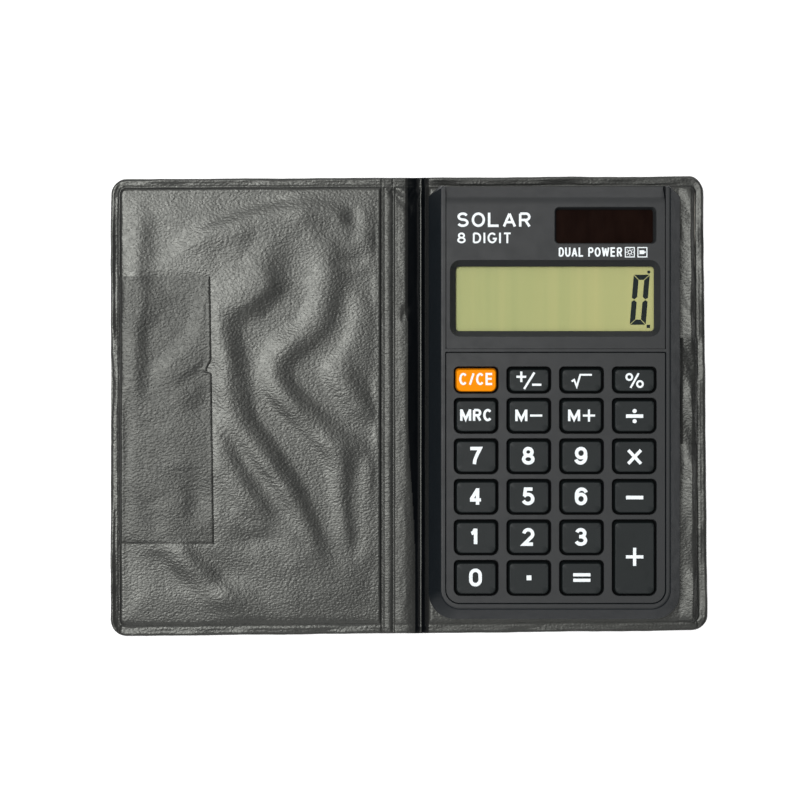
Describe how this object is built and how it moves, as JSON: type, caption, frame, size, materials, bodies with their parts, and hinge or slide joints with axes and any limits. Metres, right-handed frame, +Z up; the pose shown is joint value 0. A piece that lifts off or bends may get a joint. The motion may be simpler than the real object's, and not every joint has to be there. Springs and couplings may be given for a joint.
{
  "type": "pocket calculator",
  "caption": "Pocket calculator with a sloped-rim case, grey front panels, rubber-domed keys, display and solar cell, held in an open book-style black vinyl wallet that folds shut over it.",
  "frame": {"origin": "on the surface that the open wallet lies on, under the middle of the wallet's outline", "axes": "+X from the empty left panel to the panel that holds the calculator, +Y towards the display end of the calculator, +Z up"},
  "size_m": [0.1384, 0.1054, 0.0097],
  "materials": {
    "wallet_vinyl": "glossy black vinyl with a fine leather grain",
    "lining_vinyl": "semi-gloss black vinyl lining, fine grain, softly wrinkled",
    "grey_board": "matt grey card",
    "rim_plastic": "satin near-black moulded plastic",
    "panel_plastic": "fine-textured dark grey moulded plastic",
    "key_plastic": "matt charcoal plastic with white printed legends",
    "clear_key_plastic": "matt orange plastic with a white printed legend",
    "clear_lens": "clear acrylic",
    "display_glass": "olive liquid crystal glass with dark segments",
    "solar_glass": "very dark brown solar cell glass",
    "silicone": "translucent grey silicone rubber",
    "circuit_board": "green lacquered fibreglass board",
    "black_resin": "black epoxy resin",
    "steel": "bright steel",
    "wire_red": "red wire insulation",
    "wire_black": "black wire insulation"
  },
  "bodies": {
    "root": {"outer_cover_right": "wallet_vinyl", "stiffener_right": "grey_board", "lining_right": "lining_vinyl", "retaining_tab": "wallet_vinyl", "front_housing": "rim_plastic", "display_fascia": "panel_plastic", "keypad_bezel": "panel_plastic", "rear_cover": "rim_plastic", "display_lens": "clear_lens", "display_glass": "display_glass", "zebra_strip": "silicone", "solar_cell": "solar_glass", "solar_wire_positive": "wire_red", "solar_wire_negative": "wire_black", "circuit_board": "circuit_board", "logic_chip": "black_resin", "capacitor": "black_resin", "coin_cell": "steel", "contact_negative": "steel", "contact_positive": "steel", "keypad_mat": "silicone", "case_screw_1": "steel", "case_screw_2": "steel", "case_screw_3": "steel", "case_screw_4": "steel", "board_screw_1": "steel", "board_screw_2": "steel"},
    "spine": {"outer_cover_spine": "wallet_vinyl", "spine_lining": "lining_vinyl"},
    "cover": {"outer_cover_left": "wallet_vinyl", "stiffener_left": "grey_board", "lining_left": "lining_vinyl", "card_tab": "wallet_vinyl"},
    "key_clear": {"key_clear": "clear_key_plastic"},
    "key_plus_minus": {"key_plus_minus": "key_plastic"},
    "key_square_root": {"key_square_root": "key_plastic"},
    "key_percent": {"key_percent": "key_plastic"},
    "key_memory_recall": {"key_memory_recall": "key_plastic"},
    "key_memory_minus": {"key_memory_minus": "key_plastic"},
    "key_memory_plus": {"key_memory_plus": "key_plastic"},
    "key_divide": {"key_divide": "key_plastic"},
    "key_7": {"key_7": "key_plastic"},
    "key_8": {"key_8": "key_plastic"},
    "key_9": {"key_9": "key_plastic"},
    "key_multiply": {"key_multiply": "key_plastic"},
    "key_4": {"key_4": "key_plastic"},
    "key_5": {"key_5": "key_plastic"},
    "key_6": {"key_6": "key_plastic"},
    "key_minus": {"key_minus": "key_plastic"},
    "key_1": {"key_1": "key_plastic"},
    "key_2": {"key_2": "key_plastic"},
    "key_3": {"key_3": "key_plastic"},
    "key_plus": {"key_plus": "key_plastic"},
    "key_0": {"key_0": "key_plastic"},
    "key_point": {"key_point": "key_plastic"},
    "key_equals": {"key_equals": "key_plastic"}
  },
  "joints": [
    {"name": "spine_fold", "type": "hinge", "parent": "root", "child": "spine", "pos_m": [0.0038, 0, 0.0008], "axis": [0, 1, 0], "range_deg": [0, 90]},
    {"name": "cover_fold", "type": "hinge", "parent": "spine", "child": "cover", "pos_m": [-0.0064, 0, 0.0008], "axis": [0, 1, 0], "range_deg": [0, 90]},
    {"name": "key_clear_press", "type": "slide", "parent": "root", "child": "key_clear", "axis": [0, 0, -1], "range_m": [0, 0.0006], "stiffness_N_per_m": 800, "deforming": ["keypad_mat"]},
    {"name": "key_plus_minus_press", "type": "slide", "parent": "root", "child": "key_plus_minus", "axis": [0, 0, -1], "range_m": [0, 0.0006], "stiffness_N_per_m": 800, "deforming": ["keypad_mat"]},
    {"name": "key_square_root_press", "type": "slide", "parent": "root", "child": "key_square_root", "axis": [0, 0, -1], "range_m": [0, 0.0006], "stiffness_N_per_m": 800, "deforming": ["keypad_mat"]},
    {"name": "key_percent_press", "type": "slide", "parent": "root", "child": "key_percent", "axis": [0, 0, -1], "range_m": [0, 0.0006], "stiffness_N_per_m": 800, "deforming": ["keypad_mat"]},
    {"name": "key_memory_recall_press", "type": "slide", "parent": "root", "child": "key_memory_recall", "axis": [0, 0, -1], "range_m": [0, 0.0006], "stiffness_N_per_m": 800, "deforming": ["keypad_mat"]},
    {"name": "key_memory_minus_press", "type": "slide", "parent": "root", "child": "key_memory_minus", "axis": [0, 0, -1], "range_m": [0, 0.0006], "stiffness_N_per_m": 800, "deforming": ["keypad_mat"]},
    {"name": "key_memory_plus_press", "type": "slide", "parent": "root", "child": "key_memory_plus", "axis": [0, 0, -1], "range_m": [0, 0.0006], "stiffness_N_per_m": 800, "deforming": ["keypad_mat"]},
    {"name": "key_divide_press", "type": "slide", "parent": "root", "child": "key_divide", "axis": [0, 0, -1], "range_m": [0, 0.0006], "stiffness_N_per_m": 800, "deforming": ["keypad_mat"]},
    {"name": "key_7_press", "type": "slide", "parent": "root", "child": "key_7", "axis": [0, 0, -1], "range_m": [0, 0.0006], "stiffness_N_per_m": 800, "deforming": ["keypad_mat"]},
    {"name": "key_8_press", "type": "slide", "parent": "root", "child": "key_8", "axis": [0, 0, -1], "range_m": [0, 0.0006], "stiffness_N_per_m": 800, "deforming": ["keypad_mat"]},
    {"name": "key_9_press", "type": "slide", "parent": "root", "child": "key_9", "axis": [0, 0, -1], "range_m": [0, 0.0006], "stiffness_N_per_m": 800, "deforming": ["keypad_mat"]},
    {"name": "key_multiply_press", "type": "slide", "parent": "root", "child": "key_multiply", "axis": [0, 0, -1], "range_m": [0, 0.0006], "stiffness_N_per_m": 800, "deforming": ["keypad_mat"]},
    {"name": "key_4_press", "type": "slide", "parent": "root", "child": "key_4", "axis": [0, 0, -1], "range_m": [0, 0.0006], "stiffness_N_per_m": 800, "deforming": ["keypad_mat"]},
    {"name": "key_5_press", "type": "slide", "parent": "root", "child": "key_5", "axis": [0, 0, -1], "range_m": [0, 0.0006], "stiffness_N_per_m": 800, "deforming": ["keypad_mat"]},
    {"name": "key_6_press", "type": "slide", "parent": "root", "child": "key_6", "axis": [0, 0, -1], "range_m": [0, 0.0006], "stiffness_N_per_m": 800, "deforming": ["keypad_mat"]},
    {"name": "key_minus_press", "type": "slide", "parent": "root", "child": "key_minus", "axis": [0, 0, -1], "range_m": [0, 0.0006], "stiffness_N_per_m": 800, "deforming": ["keypad_mat"]},
    {"name": "key_1_press", "type": "slide", "parent": "root", "child": "key_1", "axis": [0, 0, -1], "range_m": [0, 0.0006], "stiffness_N_per_m": 800, "deforming": ["keypad_mat"]},
    {"name": "key_2_press", "type": "slide", "parent": "root", "child": "key_2", "axis": [0, 0, -1], "range_m": [0, 0.0006], "stiffness_N_per_m": 800, "deforming": ["keypad_mat"]},
    {"name": "key_3_press", "type": "slide", "parent": "root", "child": "key_3", "axis": [0, 0, -1], "range_m": [0, 0.0006], "stiffness_N_per_m": 800, "deforming": ["keypad_mat"]},
    {"name": "key_plus_press", "type": "slide", "parent": "root", "child": "key_plus", "axis": [0, 0, -1], "range_m": [0, 0.0006], "stiffness_N_per_m": 800, "deforming": ["keypad_mat"]},
    {"name": "key_0_press", "type": "slide", "parent": "root", "child": "key_0", "axis": [0, 0, -1], "range_m": [0, 0.0006], "stiffness_N_per_m": 800, "deforming": ["keypad_mat"]},
    {"name": "key_point_press", "type": "slide", "parent": "root", "child": "key_point", "axis": [0, 0, -1], "range_m": [0, 0.0006], "stiffness_N_per_m": 800, "deforming": ["keypad_mat"]},
    {"name": "key_equals_press", "type": "slide", "parent": "root", "child": "key_equals", "axis": [0, 0, -1], "range_m": [0, 0.0006], "stiffness_N_per_m": 800, "deforming": ["keypad_mat"]}
  ]
}
